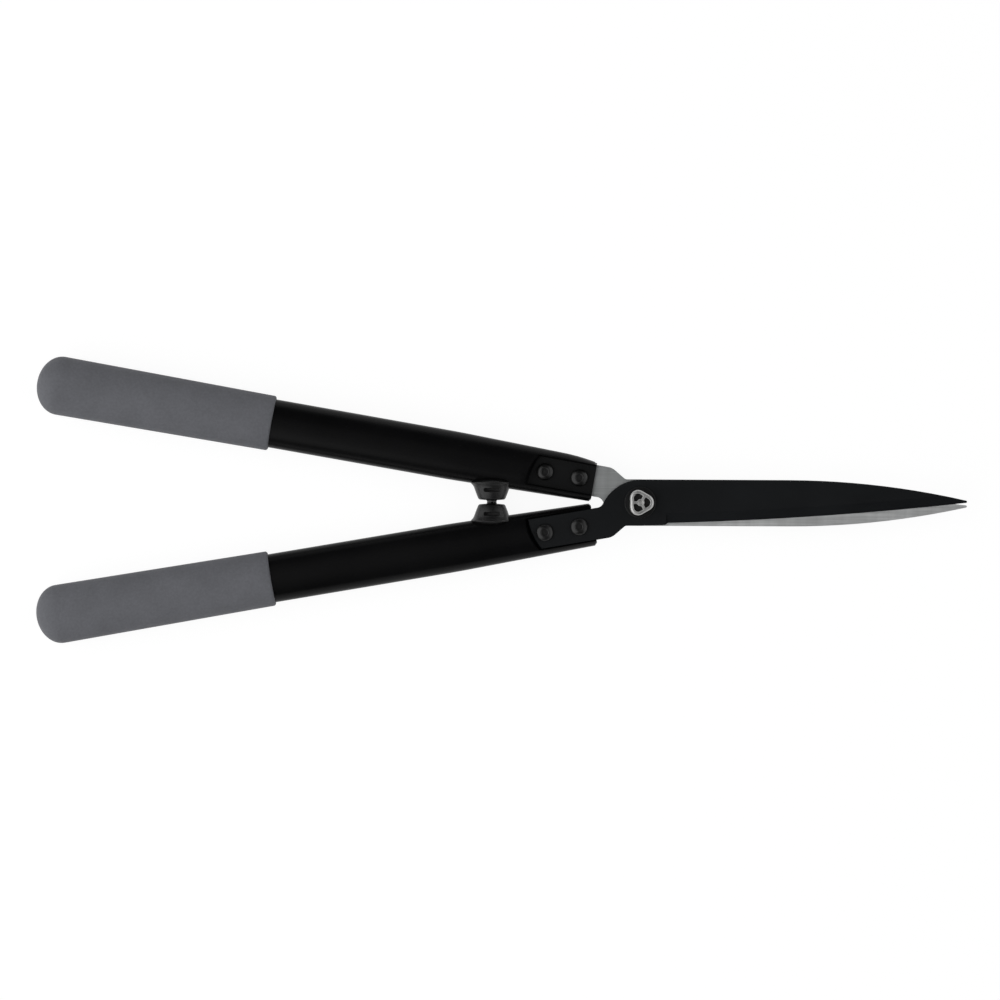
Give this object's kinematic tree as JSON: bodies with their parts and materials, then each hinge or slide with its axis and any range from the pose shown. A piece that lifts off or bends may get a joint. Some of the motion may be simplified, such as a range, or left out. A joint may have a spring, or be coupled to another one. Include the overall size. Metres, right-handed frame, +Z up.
{
  "type": "hedge shears",
  "caption": "Hedge shears with straight pointed blades on one pivot, oval tube handles in a narrow V, soft grey grips and rubber bumpers between the handles.",
  "frame": {"origin": "centre of the flat underside of the pivot bolt's head, on the pivot axis", "axes": "+X along the closed blades towards their tips, +Y towards the left handle's side, +Z up the pivot axis towards the tension nut"},
  "size_m": [0.5768, 0.1776, 0.0296],
  "materials": {
    "coated_blade_steel": "satin black coating outside, bare ground steel on the inner face",
    "powder_coated_tube": "satin black powder coat",
    "grey_grip": "matte fine-grained soft grip",
    "tube_plug_plastic": "moulded",
    "bumper_rubber": "smooth moulded rubber",
    "black_screw_steel": "black oxide, slightly glossy",
    "zinc_plated_steel": "bright zinc plate",
    "pivot_bolt_steel": "turned steel",
    "black_washer_steel": "black oxide",
    "spring_steel": "dark spring steel",
    "cast_nut_metal": "die cast, satin plated"
  },
  "bodies": {
    "left_half": {"bottom_blade": "coated_blade_steel", "left_handle_tube": "powder_coated_tube", "left_grip": "grey_grip", "left_tube_plug": "tube_plug_plastic", "left_bumper": "bumper_rubber", "left_front_tang_screw": "black_screw_steel", "left_front_tang_washer": "zinc_plated_steel", "left_front_tang_locknut": "zinc_plated_steel", "left_rear_tang_screw": "black_screw_steel", "left_rear_tang_washer": "zinc_plated_steel", "left_rear_tang_locknut": "zinc_plated_steel", "pivot_bolt": "pivot_bolt_steel", "pivot_washer": "black_washer_steel", "pivot_spring_washer": "spring_steel"},
    "right_half": {"top_blade": "coated_blade_steel", "right_handle_tube": "powder_coated_tube", "right_grip": "grey_grip", "right_tube_plug": "tube_plug_plastic", "right_bumper": "bumper_rubber", "right_front_tang_screw": "black_screw_steel", "right_front_tang_washer": "zinc_plated_steel", "right_front_tang_locknut": "zinc_plated_steel", "right_rear_tang_screw": "black_screw_steel", "right_rear_tang_washer": "zinc_plated_steel", "right_rear_tang_locknut": "zinc_plated_steel"},
    "tension_nut": {"pivot_nut": "cast_nut_metal"}
  },
  "joints": [
    {"name": "blade_pivot", "type": "hinge", "parent": "left_half", "child": "right_half", "pos_m": [0, 0, 0.00755], "axis": [0, 0, 1], "range_deg": [0, 75]},
    {"name": "tension_nut_turn", "type": "hinge", "parent": "left_half", "child": "tension_nut", "pos_m": [0, 0, 0.0141], "axis": [0, 0, 1], "range_deg": [-60, 60]}
  ]
}
